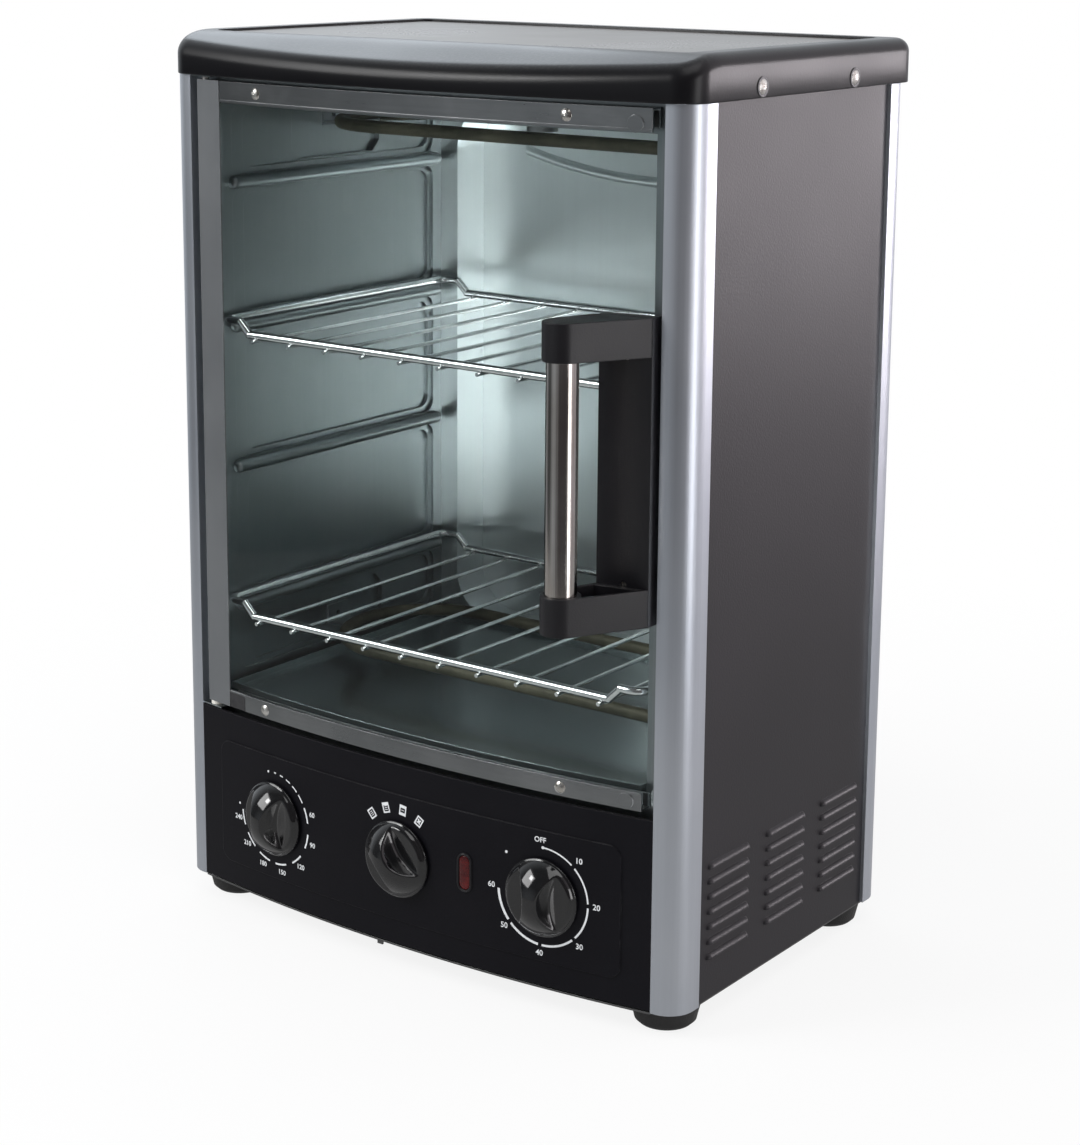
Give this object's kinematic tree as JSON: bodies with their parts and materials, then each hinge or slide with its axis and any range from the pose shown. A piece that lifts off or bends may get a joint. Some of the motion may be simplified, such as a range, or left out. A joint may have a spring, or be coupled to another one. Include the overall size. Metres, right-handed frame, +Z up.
{
  "type": "electric skewer grill",
  "caption": "Tall counter-top electric grill with a bowed, side-hinged glass door, wire racks, crumb tray, heaters above and below, a spit drive and dials under the door.",
  "frame": {"origin": "under the middle of the whole object's box, on the surface that it stands on", "axes": "+Z up, front with the door towards -Y, +X to the right seen from the front"},
  "size_m": [0.34, 0.29, 0.49],
  "materials": {
    "post_silver": "satin anodised",
    "black_enamel": "satin black powder coat",
    "cap_black": "smooth semi-gloss black",
    "galvanised": "bright galvanised sheet",
    "door_steel": "satin steel trim",
    "chrome_wire": "bright chrome plating",
    "grip_chrome": "polished",
    "black_plastic": "fine moulded texture",
    "knob_black": "polished black",
    "foot_rubber": "matt",
    "door_glass": "clear toughened glass",
    "top_glass": "glossy dark plate",
    "lamp_red": "translucent red lens",
    "heater_steel": "oxidised heater tube",
    "ceramic": "unglazed",
    "switch_plastic": "moulded",
    "brass": "machined",
    "fastener": "zinc plated",
    "dark_washer": "blackened",
    "lead_sleeve": "heat-resistant sleeving",
    "motor_zinc": "zinc plated",
    "magnet": "sintered"
  },
  "bodies": {
    "frame": {"base_pan": "galvanised", "feet": "foot_rubber", "foot_screws": "fastener", "post_front_left": "post_silver", "post_front_right": "post_silver", "post_rear_left": "post_silver", "post_rear_right": "post_silver", "side_panel_left": "black_enamel", "side_panel_right": "black_enamel", "rear_panel": "black_enamel", "top_cap": "cap_black", "top_plate": "top_glass", "cap_screws": "fastener", "cap_washers": "dark_washer", "front_frame": "galvanised", "inner_wall_left": "galvanised", "inner_wall_right": "galvanised", "inner_rear_wall": "galvanised", "inner_ceiling": "galvanised", "inner_floor": "galvanised", "control_panel": "black_enamel", "thermostat": "ceramic", "function_switch": "switch_plastic", "timer": "brass", "lamp_lens": "lamp_red", "lamp_body": "switch_plastic", "upper_element": "heater_steel", "lower_element": "heater_steel", "element_bushings": "ceramic", "element_clips": "galvanised", "spit_motor": "motor_zinc", "motor_bracket": "galvanised", "terminal_block": "ceramic", "cord_inlet": "black_plastic", "wiring": "lead_sleeve", "hinge_pins": "fastener", "hinge_washer": "switch_plastic", "catch_magnets": "magnet"},
    "door": {"door_glass": "door_glass", "door_stile": "door_steel", "door_top_rail": "door_steel", "door_bottom_rail": "door_steel", "door_corner_plate": "dark_washer", "door_screws": "fastener", "handle_base": "black_plastic", "handle_upper_arm": "black_plastic", "handle_lower_arm": "black_plastic", "handle_tube": "grip_chrome", "handle_screws": "fastener"},
    "temperature_dial": {"temperature_knob": "knob_black", "thermostat_shaft": "brass"},
    "function_dial": {"function_knob": "knob_black", "switch_shaft": "brass"},
    "timer_dial": {"timer_knob": "knob_black", "timer_shaft": "brass"},
    "spit_drive": {"drive_socket": "motor_zinc"},
    "upper_rack": {"upper_rack": "chrome_wire"},
    "lower_rack": {"lower_rack": "chrome_wire"},
    "crumb_tray": {"crumb_tray": "galvanised"}
  },
  "joints": [
    {"name": "door_hinge", "type": "hinge", "parent": "frame", "child": "door", "pos_m": [-0.144, -0.09476, 0.29], "axis": [0, 0, -1], "range_deg": [0, 110]},
    {"name": "temperature_turn", "type": "hinge", "parent": "frame", "child": "temperature_dial", "pos_m": [-0.0915, -0.1057, 0.0627], "axis": [0.0938, 0.9956, 0], "range_deg": [0, 270]},
    {"name": "function_turn", "type": "hinge", "parent": "frame", "child": "function_dial", "pos_m": [0, -0.11, 0.0627], "axis": [0, 1, 0], "range_deg": [0, 71]},
    {"name": "timer_turn", "type": "hinge", "parent": "frame", "child": "timer_dial", "pos_m": [0.0915, -0.1057, 0.0627], "axis": [-0.0938, 0.9956, 0], "range_deg": [-48, 270]},
    {"name": "spit_spin", "type": "hinge", "parent": "frame", "child": "spit_drive", "pos_m": [0, 0.014, 0.444], "axis": [0, 0, 1], "continuous": true},
    {"name": "upper_rack_shift", "type": "slide", "parent": "frame", "child": "upper_rack", "axis": [0, -1, 0], "range_m": [-0.002, 0.002]},
    {"name": "lower_rack_shift", "type": "slide", "parent": "frame", "child": "lower_rack", "axis": [0, -1, 0], "range_m": [-0.002, 0.002]},
    {"name": "crumb_tray_shift", "type": "slide", "parent": "frame", "child": "crumb_tray", "axis": [0, -1, 0], "range_m": [0, 0.003]}
  ]
}
